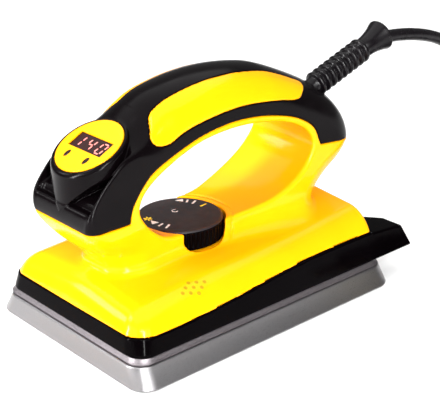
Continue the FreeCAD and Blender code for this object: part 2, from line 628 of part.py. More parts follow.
def main():
    os.makedirs("parts", exist_ok=True)
    make_sole()
    make_insulation()
    make_heat_sensing()
    make_base_frame()
    loop, loop_hollow, cover_space = loop_solid(0), loop_solid(LOOP_WALL), above_cover_line()
    make_upper_shell(loop, loop_hollow, cover_space)
    make_cover(loop, loop_hollow, cover_space)
    make_display()
    make_dial()
    make_potentiometer()
    make_board()
    make_terminals()
    make_wiring()
    make_screws()
    make_strain_relief()
    make_cord()
    make_plug()


main()
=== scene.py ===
import math
import bmesh
import bpy
import numpy as np
from mathutils import Matrix, Vector


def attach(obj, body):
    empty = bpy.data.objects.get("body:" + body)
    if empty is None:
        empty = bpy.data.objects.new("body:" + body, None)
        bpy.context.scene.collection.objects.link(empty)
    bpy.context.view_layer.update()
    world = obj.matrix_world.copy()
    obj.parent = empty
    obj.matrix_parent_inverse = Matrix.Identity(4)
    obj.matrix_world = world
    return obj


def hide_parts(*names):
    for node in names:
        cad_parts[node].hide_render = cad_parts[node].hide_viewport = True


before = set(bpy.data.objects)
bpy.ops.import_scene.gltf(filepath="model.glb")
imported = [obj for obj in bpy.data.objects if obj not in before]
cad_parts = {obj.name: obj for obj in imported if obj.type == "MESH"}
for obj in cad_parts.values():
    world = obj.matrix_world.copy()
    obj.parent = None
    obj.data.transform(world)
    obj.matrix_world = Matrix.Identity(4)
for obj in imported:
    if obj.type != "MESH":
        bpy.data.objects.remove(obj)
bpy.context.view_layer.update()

# A ski waxing iron. Shapes are worked out in millimetres in the part's frame and scaled to metres
# at the end: nose at -X, heel at +X, Z up, origin in the middle of the sole's flat bottom.
MM = 0.001

# ---- places that the CAD design has too, in millimetres ----
SOLE_HALF_X, SOLE_HALF_Y = 75.0, 51.5
FRAME_BOTTOM, FRAME_HALF = 12.3, 46.8
NOSE_X, HEEL_X, HEEL_TOP_X, HEEL_TOP = -72.8, 93.0, 87.5, 23.2
SHELL_REAR = 67.0
PART_LEVEL = 57.8
DIAL_X, DIAL_RADIUS, DIAL_TOP, DIAL_HEIGHT = -11.5, 19.3, 43.3, 9.4
FACE, FACE_TILT, FACE_RADIUS = (-58.2, 0.0, 86.9), 27.2, 15.1
BOSS_HALF_X, BOSS_HALF_Y = 15.2, 17.0
RELIEF_BASE, RELIEF_TILT, RELIEF_LENGTH = (69.6, 0.0, 84.03), 19.4, 50.6
CORD_RADIUS = 3.1
COIL_X, COIL_Y = 208.0, -47.0

# ---- places that differ from the CAD design, or that only the look has, in millimetres ----
WALL = 2.4
POCKET_RADIUS, POCKET_FLOOR = 20.2, 33.3
INLAY_EDGE = 10.2
SEAM_GAP, INLAY_GAP = 0.1, 0.12
LOOP_HALF = 20.0
SKIRT_BASE, SKIRT_HALF_Y, SKIRT_NOSE_X, SKIRT_TOP = 20, 45.0, -71.6, 34.2
SKIRT_SIDE_DRAFT, SKIRT_NOSE_DRAFT, SKIRT_RISE = 0.28, 0.1, 0.072
FOOT_DOME, FOOT_DOME_X, FOOT_DOME_LONG, FOOT_DOME_WIDE = 3.6, -36, 34, 25
RIM_GROOVE_OUT, RIM_GROOVE_DEPTH = 2.8, 0.5
FRAME_DRAFT, FRAME_WALL, HEEL_ROOT = 0.245, 2.5, 24.8
NOTCH_X, NOTCH_SLANT = 80.0, 0.707

CROWN_POINTS = [(-57.0, 14.0), (-57.0, 31.0), (-60.8, 39.2), (-68.6, 47.6), (-73.0, 54.6),
                (-74.5, 59.0), (-74.0, 63.8), (-71.6, 69.4), (-66.2, 76.0), (-58.6, 82.8), (-50.8, 88.6),
                (-44.5, 93.6), (-37.5, 99.0), (-28.6, 103.5), (-15.6, 106.4), (-2.3, 107.7),
                (11.4, 107.4), (25.6, 105.4), (34.6, 102.7), (47.4, 97.3), (59.8, 91.2),
                (68.6, 85.6), (75.4, 79.4), (80.2, 72.6), (82.6, 65.8), (82.4, 60.0),
                (78.8, 54.5), (72.9, 49.3), (65.4, 44.6), (60.0, 39.0), (58.0, 31.0), (58.0, 14.0)]
RING_POINTS = [(-11.0, 43.2), (-30.0, 43.7), (-40.4, 49.6), (-48.0, 58.6), (-47.4, 65.6),
               (-40.4, 72.3), (-27.0, 79.0), (-14.0, 83.0), (1.2, 84.5), (17.0, 83.6),
               (33.0, 80.3), (45.5, 74.5), (51.0, 67.3), (48.3, 60.4), (41.0, 53.4),
               (30.0, 47.8), (17.2, 44.6), (3.9, 43.3)]
SEAM_POINTS = [(-54.3, PART_LEVEL), (-52.5, 63.4), (-47.2, 70.6), (-40.3, 76.6), (-26.0, 82.4),
               (-13.0, 86.0), (1.2, 87.6), (17.0, 86.8), (33.0, 83.4), (43.6, 79.4),
               (51.8, 73.4), (55.6, 64.8)]
INLAY_POINTS = [(-36.5, 86.2), (-32.0, 86.6), (-24.0, 89.8), (-13.0, 92.0), (0.0, 93.4),
                (12.0, 93.4), (28.0, 91.5), (37.0, 89.6), (42.0, 89.0)]
FRAME_LINE = [(-90, 20), (-70, 20), (-48, 20), (-28, 20.9), (0, 23.1), (25, 24.9), (45, 25.3),
              (60, 25.3), (110, 25.3)]


# ---- fields: negative inside, roughly a distance in millimetres ----
def curve_through(points, closed=False, steps=8):
    """A dense smooth line through the points."""
    p = np.array(points, float)
    before = np.roll(p, 1, 0) if closed else np.vstack([2 * p[0] - p[1], p[:-1]])
    after = np.roll(p, -1, 0) if closed else np.vstack([p[1:], 2 * p[-1] - p[-2]])
    beyond = np.roll(p, -2, 0) if closed else np.vstack([p[2:], after[-1], 2 * after[-1] - p[-1]])
    spans = len(p) if closed else len(p) - 1
    t = np.linspace(0, 1, steps, endpoint=False)[:, None]
    line = []
    for a, b, c, d in zip(before[:spans], p[:spans], after[:spans], beyond[:spans]):
        line.append(0.5 * (2 * b + (c - a) * t + (2 * a - 5 * b + 4 * c - d) * t ** 2
                           + (3 * b - a - 3 * c + d) * t ** 3))
    line = np.vstack(line)
    return line if closed else np.vstack([line, p[-1:]])


class Outline:
    """The distance to a closed outline in the side view, read from a fine table."""
    STEP = 0.4
    LOW, HIGH = np.array([-92.0, 4.0]), np.array([112.0, 122.0])

    def __init__(self, line):
        size = ((self.HIGH - self.LOW) / self.STEP).astype(int) + 1
        x = (self.LOW[0] + np.arange(size[0]) * self.STEP)[:, None]
        z = (self.LOW[1] + np.arange(size[1]) * self.STEP)[None, :]
        nearest = np.full(tuple(size), 1e9)
        crossings = np.zeros(tuple(size), int)
        for (ax, az), (bx, bz) in zip(line, np.roll(line, -1, 0)):
            dx, dz = bx - ax, bz - az
            square = dx * dx + dz * dz
            if square < 1e-12:
                continue
            t = np.clip(((x - ax) * dx + (z - az) * dz) / square, 0, 1)
            nearest = np.minimum(nearest, (x - ax - t * dx) ** 2 + (z - az - t * dz) ** 2)
            if az != bz:
                between = (z >= min(az, bz)) & (z < max(az, bz))
                crossings += between & (x < ax + (z - az) * dx / dz)
        self.table = np.sqrt(nearest) * np.where(crossings % 2 == 1, -1, 1)

    def __call__(self, x, z):
        u = np.clip((x - self.LOW[0]) / self.STEP, 0, self.table.shape[0] - 1.001)
        v = np.clip((z - self.LOW[1]) / self.STEP, 0, self.table.shape[1] - 1.001)
        i, j = u.astype(int), v.astype(int)
        u, v = u - i, v - j
        low = self.table[i, j] * (1 - u) + self.table[i + 1, j] * u
        high = self.table[i, j + 1] * (1 - u) + self.table[i + 1, j + 1] * u
        return low * (1 - v) + high * v


def ramp(start, end, value):
    """0 before start, 1 after end, smooth in between."""
    t = np.clip((value - start) / (end - start), 0, 1)
    return t * t * (3 - 2 * t)


def join(a, b, blend):
    """Both shapes, with a concave blend where they meet."""
    near = np.maximum(blend - np.abs(a - b), 0) / blend
    return np.minimum(a, b) - near * near * blend / 4


def meet(a, b, radius):
    """What both shapes share, with a rounded edge of that radius."""
    corner = np.hypot(np.maximum(a + radius, 0), np.maximum(b + radius, 0))
    return np.minimum(np.maximum(a, b), -radius) + corner


def rounded_rectangle(x, y, half_x, half_y, corner):
    u, v = np.abs(x) - half_x + corner, np.abs(y) - half_y + corner
    return np.minimum(np.maximum(u, v), 0) + np.hypot(np.maximum(u, 0), np.maximum(v, 0)) - corner


CROWN = Outline(curve_through(CROWN_POINTS))
RING = Outline(curve_through(RING_POINTS, closed=True))
COVER = Outline(np.vstack([curve_through(SEAM_POINTS),
                           [(100, 60.4), (100, 120), (-90, 120), (-90, PART_LEVEL)]]))
INLAY = Outline(np.vstack([curve_through(INLAY_POINTS), [(43.6, 89.2), (50.5, 92.4), (62, 120),
                                                         (-22.0, 120), (-40.4, 89.8), (-40.2, 88.2),
                                                         (-38.9, 86.8)]]))
UNDER_LINE = Outline(np.vstack([curve_through(FRAME_LINE), [(110, 5), (-90, 5)]]))


def loop_field(x, y, z):
    """The handle loop's outside, from the nose collar over the top to the rear neck."""
    y = np.abs(y)
    front = 1 - ramp(-58, -38, x)
    foot = 1 - ramp(50, 74, z)
    waist = (1 - ramp(40, 57, z)) * (1 - ramp(3, 34, x))
    half = LOOP_HALF + 1.4 * foot * front + 1.8 * foot * ramp(10, 40, x) - (3.0 + 1.4 * front) * waist
    outer = CROWN(x, z) + ramp(-58, -36, x) * y ** 2 / 52
    behind = ramp(-50, -30, x)
    edge = 1.8 + 4.8 * behind + (1 - behind) * (3.6 * (1 - ramp(55, 67, z)) + 9.0 * waist)
    body = meet(outer, y - half, edge)
    hollow = 1.5 * (1 - np.clip(y / 19.5, 0, 1) ** 2) * (ramp(-10, 25, x) + 0.5 * ramp(70, 80, z))
    return meet(body, np.minimum(hollow, 1.5) - RING(x, z), 1.7)


def skirt_field(x, y, z):
    """The broad lower part of the yellow shell."""
    half_y = SKIRT_HALF_Y - SKIRT_SIDE_DRAFT * (z - SKIRT_BASE)
    nose = SKIRT_NOSE_X + SKIRT_NOSE_DRAFT * (z - SKIRT_BASE)
    plan = rounded_rectangle(x - (nose + 140) / 2, y, (140 - nose) / 2, half_y, 10.0)
    top = z - SKIRT_TOP - SKIRT_RISE * x
    top = top + np.sqrt(y ** 2 + 4) * (0.02 + 0.07 * ramp(-60, 60, x))
    top = top - FOOT_DOME * np.exp(-((x - FOOT_DOME_X) / FOOT_DOME_LONG) ** 2
                                   - (y / FOOT_DOME_WIDE) ** 2)
    body = meet(plan, top, 10.5)
    return meet(body, x - SHELL_REAR, 2.2)


def dial_room(x, y, z):
    """The pocket that the dial turns in; it breaks out through both sides of the loop."""
    pocket = meet(np.hypot(x - DIAL_X, y) - POCKET_RADIUS, POCKET_FLOOR - z, 0.6)
    return np.maximum(pocket, z - 56)


def shell_outside(x, y, z):
    """The loop and the skirt in one, with the pocket and a fine groove round it."""
    blend = 5.0 + 7.0 * ramp(-15, 25, x) - 9.5 * ramp(40, 62, x)
    body = join(loop_field(x, y, z), skirt_field(x, y, z), blend)
    out = np.hypot(x - DIAL_X, y) - POCKET_RADIUS - RIM_GROOVE_OUT
    groove = (RIM_GROOVE_DEPTH * np.exp(-(out / 0.5) ** 2) * ramp(-4, 2, x) * ramp(34, 36, z)
              * (1 - ramp(50, 54, z)))
    return meet(body + groove, -dial_room(x, y, z), 0.7)


def upper_shell_field(x, y, z):
    """The yellow shell's wall, above the frame and below the handle cover."""
    outside = shell_outside(x, y, z)
    wall = np.maximum(outside, -(outside + WALL))
    wall = meet(wall, 0.12 - UNDER_LINE(x, z), 0.4)  # the black ring ends just below
    return meet(wall, SEAM_GAP - COVER(x, z), 0.5)


def boss_field(x, y, z):
    """The upright oval under the display."""
    above_crease = (crease_height(y) - z) * 0.73
    u, v = (x - FACE[0]) / BOSS_HALF_X, y / BOSS_HALF_Y
    radius = np.sqrt(u * u + v * v) + 1e-6
    slope = np.sqrt((u / BOSS_HALF_X) ** 2 + (v / BOSS_HALF_Y) ** 2) + 1e-6
    return meet((radius - 1) * radius / slope, above_crease, 0.3)


def crease_height(y):
    """The level where the boss ends above the pit, rising away from the middle."""
    return 70.5 + (np.abs(y) - 8.3) * 0.93


def display_height(x, z):
    """How far a point is above the display face's plane."""
    tilt = math.radians(FACE_TILT)
    return (z - FACE[2]) * math.cos(tilt) - (x - FACE[0]) * math.sin(tilt)


def inlay_room(x, y, z):
    """Where the yellow side panels lie, on both sides."""
    return meet(INLAY(x, z), INLAY_EDGE - np.abs(y), 1.2)


def pit_field(x, y, z):
    """The hollow on each side of the display boss: deep below it, shallow beside it."""
    y = np.abs(y)
    crown = CROWN(x, z)
    floor = -(crown + 7.4 * ramp(64.3, 73, z))
    crease = (z - crease_height(y)) * 0.73
    deep = meet(smooth_corner(floor, y - 19.0, 3.0), crease, 0.4)
    valley = smooth_corner(-(crown + 3.4 * (1 - ramp(-60, -41, x))), y - 18.3, 2.2)
    return np.maximum(np.minimum(deep, np.maximum(valley, 66 - z)), x + 38)


def smooth_corner(a, b, blend):
    """What two shapes share, with a soft blend along their common edge."""
    return -join(-a, -b, blend)


def cover_outside(x, y, z):
    """The handle's outside with the hollows beside the boss, and the boss itself."""
    body = meet(loop_field(x, y, z), -pit_field(x, y, z), 0.5)
    boss = meet(boss_field(x, y, z), display_height(x, z) + 0.05, 1.5)
    return join(body, boss, 1.0)


def handle_cover_field(x, y, z):
    """The black cover's wall, with the display's seat, the inlays' recess and the cord's hole."""
    outside = cover_outside(x, y, z)
    body = np.maximum(outside, -(outside + WALL))
    seat = np.maximum(display_disc_distance(x, y, z) - 0.15, -(display_height(x, z) + 0.6))
    opening = np.maximum(display_disc_distance(x, y, z) + 2.6, -(display_height(x, z) + 6))
    body = meet(body, -np.minimum(seat, opening), 0.35)
    recess = np.maximum(inlay_room(x, y, z) - INLAY_GAP, -(loop_field(x, y, z) + 1.7))
    body = meet(body, -recess, 0.35)
    along, out = relief_frame(x, y, z)
    body = np.maximum(body, -np.minimum(out - 4.7, np.maximum(out - 6.3, 2.0 - along)))
    return meet(body, COVER(x, z) + SEAM_GAP, 0.5)


def display_disc_distance(x, y, z):
    """Distance from the tilted display disc's rim, negative towards its middle."""
    tilt = math.radians(FACE_TILT)
    along = (x - FACE[0]) * math.cos(tilt) + (z - FACE[2]) * math.sin(tilt)
    return np.hypot(along, y) - FACE_RADIUS


def relief_frame(x, y, z):
    """Distance along the strain relief's axis, and away from it."""
    tilt = math.radians(RELIEF_TILT)
    dx, dz = x - RELIEF_BASE[0], z - RELIEF_BASE[2]
    along = dx * math.cos(tilt) + dz * math.sin(tilt)
    return along, np.hypot(dz * math.cos(tilt) - dx * math.sin(tilt), y)


def inlay_field(sign):
    """The field of the panel on one side; sign is 1 for +Y and -1 for -Y."""
    def field(x, y, z):
        outside = loop_field(x, y, z) - INLAY_GAP
        skin = np.maximum(outside, -(outside + 1.6))
        return meet(np.maximum(skin, -sign * y), inlay_room(x, y, z) + 0.06, 0.5)
    return field


def base_frame_field(x, y, z):
    """The black ring: a drafted band, open inside, with the notched heel behind the shell."""
    draft = FRAME_DRAFT * (z - FRAME_BOTTOM)
    nose = NOSE_X + 0.17 * (z - FRAME_BOTTOM)
    plan = rounded_rectangle(x - (nose + 160) / 2, y, (160 - nose) / 2, FRAME_HALF - draft, 9.0)
    body = meet(plan, UNDER_LINE(x, z) + 0.08, 0.5)
    body = meet(body, FRAME_BOTTOM - z, 0.9)
    lean = math.atan2(HEEL_X - HEEL_TOP_X, HEEL_TOP - FRAME_BOTTOM)
    back = (x - HEEL_TOP_X) * math.cos(lean) + (z - HEEL_TOP) * math.sin(lean)
    heel_top = z - HEEL_ROOT + (x - SHELL_REAR) * (HEEL_ROOT - HEEL_TOP) / (HEEL_TOP_X - SHELL_REAR)
    notch = np.maximum(NOTCH_X - x, (np.abs(y) + 55.0 - x) * NOTCH_SLANT)
    body = meet(body, np.where(x > SHELL_REAR + 0.3, heel_top, -50.0), 0.8)
    body = meet(body, back, 0.7)
    body = meet(body, -notch, 0.9)
    inside = rounded_rectangle(x + 3.0, y, 67.4, FRAME_HALF - draft - FRAME_WALL, 6.5)
    room = np.maximum(inside, 16.3 - z)
    under = np.maximum(inside, z - 14.3)
    return np.maximum(body, -np.minimum(room, under))


# ---- meshes ----
def surface_of(field, low, high, step):
    """Points, quads and normals of the surface where a field is zero."""
    axes = [np.arange(a, b + step, step) for a, b in zip(low, high)]
    value = field(*np.meshgrid(*axes, indexing="ij", sparse=True))
    cells = np.array(value.shape) - 1
    quads, crossings = [], []
    for d in range(3):
        e, f = (d + 1) % 3, (d + 2) % 3
        first = np.moveaxis(np.moveaxis(value, d, 0)[:-1], 0, d)
        second = np.moveaxis(np.moveaxis(value, d, 0)[1:], 0, d)
        hit = (first < 0) != (second < 0)
        index = np.argwhere(hit)
        inside, outside = first[hit], second[hit]
        keep = ((index[:, e] > 0) & (index[:, f] > 0)
                & (index[:, e] < cells[e]) & (index[:, f] < cells[f]))
        index, inside, outside = index[keep], inside[keep], outside[keep]
        point = index.astype(float)
        point[:, d] += inside / (inside - outside)
        corners = []
        for shift_e, shift_f in ((0, 0), (-1, 0), (-1, -1), (0, -1)):
            cell = index.copy()
            cell[:, e] += shift_e
            cell[:, f] += shift_f
            corners.append(np.ravel_multi_index(cell.T, cells))
        quad = np.stack(corners, 1)
        quad[inside >= 0] = quad[inside >= 0][:, ::-1]
        quads.append(quad)
        crossings.append(point)
    quads, crossings = np.vstack(quads), np.vstack(crossings)
    _, vertex = np.unique(quads.ravel(), return_inverse=True)
    count = np.bincount(vertex)
    spread = np.repeat(crossings, 4, 0)
    points = np.stack([np.bincount(vertex, spread[:, k]) / count for k in range(3)], 1)
    points = points * step + np.array([a[0] for a in axes])
    for _ in range(4):
        slope = slope_of(field, points, 0.12)
        size = np.maximum((slope ** 2).sum(1), 0.05)
        move = field(*points.T)[:, None] * slope / size[:, None]
        length = np.linalg.norm(move, axis=1, keepdims=True)
        points = points - move * np.minimum(1, 0.6 * step / np.maximum(length, 1e-9))
    normals = slope_of(field, points, 0.2)
    normals /= np.maximum(np.linalg.norm(normals, axis=1, keepdims=True), 1e-9)
    return points, vertex.reshape(-1, 4), normals


def slope_of(field, points, reach):
    """The field's gradient at each point, from values a short reach away on both sides."""
    slope = np.empty_like(points)
    for k in range(3):
        step = np.zeros(3)
        step[k] = reach
        slope[:, k] = (field(*(points + step).T) - field(*(points - step).T)) / (2 * reach)
    return slope


def new_object(name, points, faces, normals=None):
    """A smooth mesh object from points in millimetres."""
    mesh = bpy.data.meshes.new(name)
    mesh.from_pydata((np.asarray(points, float) * MM).tolist(), [], [list(f) for f in faces])
    mesh.update()
    mesh.shade_smooth()
    if normals is not None:
        mesh.normals_split_custom_set_from_vertices(np.asarray(normals).tolist())
    made = bpy.data.objects.new(name, mesh)
    bpy.context.scene.collection.objects.link(made)
    return made


def field_object(name, field, low, high, step):
    points, quads, normals = surface_of(field, low, high, step)
    return new_object(name, points, quads.tolist(), normals)


def use_material(piece, *materials):
    piece.data.materials.clear()
    for material in materials:
        piece.data.materials.append(material)


def finish_piece(piece, body, slot, *nodes):
    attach(piece, body)
    if nodes:
        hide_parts(*nodes)
    return piece


def ring_faces(rings, count):
    """Faces that join rings of count points each, from the bottom up, with a cap at each end."""
    faces = []
    for k in range(rings - 1):
        low, high = k * count, (k + 1) * count
        for i in range(count):
            j = (i + 1) % count
            faces.append((low + i, low + j, high + j, high + i))
    faces.append(tuple(range(count))[::-1])
    faces.append(tuple(range((rings - 1) * count, rings * count)))
    return faces


def lathe(name, profile, place, around):
    """A turned piece. profile holds (radius, height) pairs from the bottom up, in millimetres."""
    angle = np.arange(around) * 2 * math.pi / around
    points = np.vstack([np.stack([radius * np.cos(angle), radius * np.sin(angle),
                                  np.full(around, height)], 1) for radius, height in profile])
    placed = np.array([list(place @ Vector(p)) for p in points])
    return new_object(name, placed, ring_faces(len(profile), around))


def faced_outwards(piece):
    """Turns every face of a closed piece outwards."""
    bm = bmesh.new()
    bm.from_mesh(piece.data)
    bmesh.ops.recalc_face_normals(bm, faces=bm.faces)
    bm.to_mesh(piece.data)
    bm.free()
    return piece


def soft_edges(piece, angle=32):
    """Smooth shading that stays crisp at edges sharper than the angle."""
    bm = bmesh.new()
    bm.from_mesh(piece.data)
    for edge in bm.edges:
        edge.smooth = len(edge.link_faces) == 2 and edge.calc_face_angle(0) < math.radians(angle)
    bm.to_mesh(piece.data)
    bm.free()
    return piece


def stack(name, rings, corner_steps):
    """A block from rounded rectangles: (centre x, half x, half y, corner, z), from the bottom up."""
    points = []
    quarter = np.linspace(0, math.pi / 2, corner_steps + 1)
    for centre, half_x, half_y, corner, z in rings:
        for sx, sy, turn in ((1, 1, 0), (-1, 1, 1), (-1, -1, 2), (1, -1, 3)):
            for a in quarter + turn * math.pi / 2:
                points.append((centre + sx * (half_x - corner) + corner * math.cos(a),
                               sy * (half_y - corner) + corner * math.sin(a), z))
    return new_object(name, points, ring_faces(len(rings), 4 * (corner_steps + 1)))


def rounded_rings(centre, half_x, half_y, corner, z0, z1, draft_x, draft_y, edge, steps=4):
    """Rings of a drafted block whose lower and upper rims are rounded."""
    rings = []
    for k in range(steps + 1):
        a = math.pi / 2 * k / steps
        inset, rise = edge * (1 - math.sin(a)), edge * (1 - math.cos(a))
        rings.append((centre, half_x - inset, half_y - inset, corner - inset, z0 + rise))
    for k in range(steps + 1):
        a = math.pi / 2 * k / steps
        inset, fall = edge * (1 - math.cos(a)), edge * (1 - math.sin(a))
        rings.append((centre, half_x - draft_x - inset, half_y - draft_y - inset,
                      corner - inset, z1 - fall))
    return rings


# ---- materials ----
class Nodes:
    """A small helper that wires shader nodes."""

    def __init__(self, name):
        self.material = bpy.data.materials.new(name)
        self.material.use_nodes = True
        self.tree = self.material.node_tree
        self.shader = self.tree.nodes["Principled BSDF"]
        coords = self.tree.nodes.new("ShaderNodeTexCoord")
        self.place = coords.outputs["Object"]

    def set(self, **values):
        for key, value in values.items():
            self.shader.inputs[key.replace("_", " ")].default_value = value
        return self

    def noise(self, scale, detail=3.0, stretch=None):
        source = self.place
        if stretch:
            mapping = self.tree.nodes.new("ShaderNodeMapping")
            mapping.inputs["Scale"].default_value = stretch
            self.tree.links.new(source, mapping.inputs["Vector"])
            source = mapping.outputs["Vector"]
        node = self.tree.nodes.new("ShaderNodeTexNoise")
        node.inputs["Scale"].default_value = scale
        node.inputs["Detail"].default_value = detail
        self.tree.links.new(source, node.inputs["Vector"])
        return node.outputs["Fac"]

    def ramp(self, source, low, high, start=0.35, end=0.65):
        """Maps a value from start..end to low..high; colours or numbers."""
        if isinstance(low, tuple):
            node = self.tree.nodes.new("ShaderNodeValToRGB")
            for element, place, colour in zip(node.color_ramp.elements, (start, end), (low, high)):
                element.position = place
                element.color = (*colour, 1.0)
            self.tree.links.new(source, node.inputs["Fac"])
            return node.outputs["Color"]
        node = self.tree.nodes.new("ShaderNodeMapRange")
        node.inputs["From Min"].default_value = start
        node.inputs["From Max"].default_value = end
        node.inputs["To Min"].default_value = low
        node.inputs["To Max"].default_value = high
        self.tree.links.new(source, node.inputs["Value"])
        return node.outputs["Result"]

    def link(self, source, socket):
        self.tree.links.new(source, self.shader.inputs[socket])
        return self

    def bump(self, source, strength, distance):
        node = self.tree.nodes.new("ShaderNodeBump")
        node.inputs["Strength"].default_value = strength
        node.inputs["Distance"].default_value = distance * MM
        self.tree.links.new(source, node.inputs["Height"])
        return self.link(node.outputs["Normal"], "Normal")


def moulded(name, colour, darker, rough, grain, depth, specular=0.5):
    """Moulded plastic: faint colour drift, uneven gloss and a fine surface grain."""
    nodes = Nodes(name)
    nodes.set(Specular_IOR_Level=specular)
    nodes.link(nodes.ramp(nodes.noise(45.0, 4.0), darker, colour), "Base Color")
    nodes.link(nodes.ramp(nodes.noise(120.0, 3.0), rough * 0.85, rough * 1.2), "Roughness")
    nodes.bump(nodes.noise(grain, 2.0), 0.35, depth)
    return nodes.material


def metal(name, colour, darker, rough, stretch, anisotropic=0.0, depth=0.02):
    """Metal with fine lines along one direction."""
    nodes = Nodes(name)
    nodes.set(Metallic=1.0, Anisotropic=anisotropic)
    lines = nodes.noise(900.0, 4.0, stretch)
    nodes.link(nodes.ramp(lines, darker, colour, 0.3, 0.7), "Base Color")
    nodes.link(nodes.ramp(lines, rough * 0.8, rough * 1.25, 0.3, 0.7), "Roughness")
    nodes.bump(lines, 0.25, depth)
    return nodes.material


YELLOW = moulded("yellow_gloss_plastic",
                 (0.92, 0.375, 0.0015), (0.91, 0.36, 0.001), 0.13, 900, 0.004, 0.14)
BLACK_GLOSS = moulded("black_gloss_plastic",
                      (0.001, 0.0006, 0.0009), (0.0007, 0.0004, 0.0006), 0.12, 1400, 0.003, 0.02)
BLACK_SATIN = moulded("black_satin_plastic",
                      (0.002, 0.0012, 0.0016), (0.0013, 0.0007, 0.001), 0.2, 2600, 0.004, 0.07)
DIAL_BLACK = moulded("dial_black_plastic",
                     (0.016, 0.012, 0.014), (0.01, 0.008, 0.009), 0.42, 2200, 0.015, 0.35)
RELIEF_BLACK = moulded("relief_rubber",
                       (0.004, 0.003, 0.004), (0.002, 0.0015, 0.002), 0.26, 1500, 0.015, 0.2)
CORD_BLACK = moulded("cord_rubber",
                     (0.005, 0.004, 0.005), (0.003, 0.002, 0.003), 0.3, 1800, 0.015, 0.2)
PLUG_BLACK = moulded("plug_rubber",
                     (0.01, 0.009, 0.01), (0.008, 0.007, 0.008), 0.4, 2000, 0.03, 0.4)
SOLE_BRIGHT = metal("sole_milled_aluminium",
                    (0.25, 0.245, 0.25), (0.205, 0.2, 0.205), 0.33, (1, 1, 26), 0.5, 0.01)
SOLE_SHOULDER = metal("sole_cast_aluminium",
                      (0.22, 0.20, 0.21), (0.17, 0.155, 0.165), 0.45, (1, 1, 3), 0.0, 0.03)
STEEL = metal("bright_steel", (0.55, 0.55, 0.56), (0.42, 0.42, 0.43), 0.3, (1, 1, 8))
BRASS = metal("plated_brass", (0.72, 0.62, 0.42), (0.62, 0.52, 0.32), 0.22, (8, 1, 1))
TIE = moulded("tie_fabric", (0.03, 0.03, 0.032), (0.015, 0.015, 0.017), 0.85, 4200, 0.12, 0.2)
FELT = moulded("mineral_felt", (0.8, 0.77, 0.7), (0.62, 0.58, 0.5), 0.95, 3000, 0.3, 0.2)
BOARD = moulded("circuit_board_green", (0.03, 0.22, 0.08), (0.015, 0.13, 0.05), 0.4, 1200, 0.03)
PARTS_GREY = moulded("component_plastic", (0.06, 0.06, 0.065), (0.03, 0.03, 0.035), 0.5, 1600, 0.03)
CERAMIC = moulded("terminal_plastic", (0.78, 0.75, 0.66), (0.66, 0.62, 0.54), 0.5, 1000, 0.03)
WIRE = moulded("wire_insulation", (0.45, 0.16, 0.07), (0.32, 0.1, 0.05), 0.4, 1400, 0.02)
WINDOW_DARK = moulded("display_window_tint",
                      (0.02, 0.003, 0.003), (0.01, 0.0015, 0.0015), 0.1, 800, 0.001, 0.15)
LENS_DARK = moulded("lens_dark",
                    (0.012, 0.005, 0.003), (0.005, 0.002, 0.001), 0.15, 800, 0.001, 0.2)
PRINT_WHITE = moulded("print_white", (0.72, 0.71, 0.7), (0.6, 0.59, 0.58), 0.5, 1800, 0.01, 0.3)
PRINT_YELLOW = moulded("print_yellow", (0.86, 0.72, 0.05), (0.74, 0.6, 0.03), 0.5, 1800, 0.01, 0.3)
# painted shade: the dark olive colour of the vent discs stands in for the shade inside the vents
VENT_PAINTED_SHADE = moulded("vent_shadow", (0.33, 0.22, 0.004), (0.26, 0.17, 0.003), 0.7, 1800, 0.01, 0.1)


def glow_material():
    nodes = Nodes("digit_glow")
    core = nodes.ramp(nodes.noise(1500.0, 2.0), (1.0, 0.42, 0.36), (1.0, 0.62, 0.56))
    nodes.link(core, "Emission Color")
    nodes.set(Base_Color=(0.5, 0.05, 0.04, 1), Emission_Strength=1.0, Roughness=0.4)
    return nodes.material


GLOW = glow_material()


# ---- the iron's pieces ----
SOLE_BAND_TOP, SOLE_STEP_TOP = 9.4, 10.0
GROOVE_DEPTH = 0.6


def lowest_point(piece, polygon):
    """The height of a face's lowest corner, in metres."""
    return min(piece.data.vertices[i].co.z for i in polygon.vertices)


def build_sole():
    """The polished band, the step line cut above it and the darker shoulder."""
    band = rounded_rings(0, SOLE_HALF_X, SOLE_HALF_Y, 8.7, 0, SOLE_BAND_TOP, 1.2, 4.0, 0.9)
    step = [(-0.3, 72.2, 46.5, 7.2, z) for z in (SOLE_BAND_TOP, SOLE_STEP_TOP)]
    shoulder = rounded_rings(-0.4, 72.7, 47.4, 7.6, SOLE_STEP_TOP, 12.2, 1.2, 1.0, 0.35, 3)
    piece = stack("sole_plate_body", band + step + shoulder, 14)
    use_material(piece, SOLE_BRIGHT, SOLE_SHOULDER)
    for polygon in piece.data.polygons:
        if lowest_point(piece, polygon) > (SOLE_BAND_TOP - 0.1) * MM:
            polygon.material_index = 1
    finish_piece(soft_edges(piece, 35), "iron", "aluminium", "sole_plate")


def build_casings():
    """The shell, the handle cover, the two inlays and the base frame, each from its field."""
    shell_step, cover_step = ((0.74, 0.62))
    shell = field_object("upper_shell_body", upper_shell_field,
                         (-76, -47.5, 18), (90.5, 47.5, 89.5), shell_step)
    use_material(shell, YELLOW)
    finish_piece(shell, "iron", "yellow_gloss", "upper_shell")
    cover = field_object("handle_cover_body", handle_cover_field,
                         (-75.5, -23.5, 56), (90, 23.5, 110), cover_step)
    use_material(cover, BLACK_SATIN)
    finish_piece(cover, "iron", "black_satin", "handle_cover")
    for name, sign in (("left_inlay", 1), ("right_inlay", -1)):
        low, high = sorted((sign * 9.0, sign * 22.0))
        inlay = field_object(name + "_panel", inlay_field(sign),
                             (-43, low, 84), (60, high, 107), cover_step)
        use_material(inlay, YELLOW)
        finish_piece(inlay, "iron", "yellow_gloss", name)
    base = field_object("base_frame_ring", base_frame_field,
                        (-74.5, -48.5, 10.5), (95, 48.5, 27), shell_step)
    use_material(base, BLACK_GLOSS)
    finish_piece(base, "iron", "black_gloss", "base_frame")


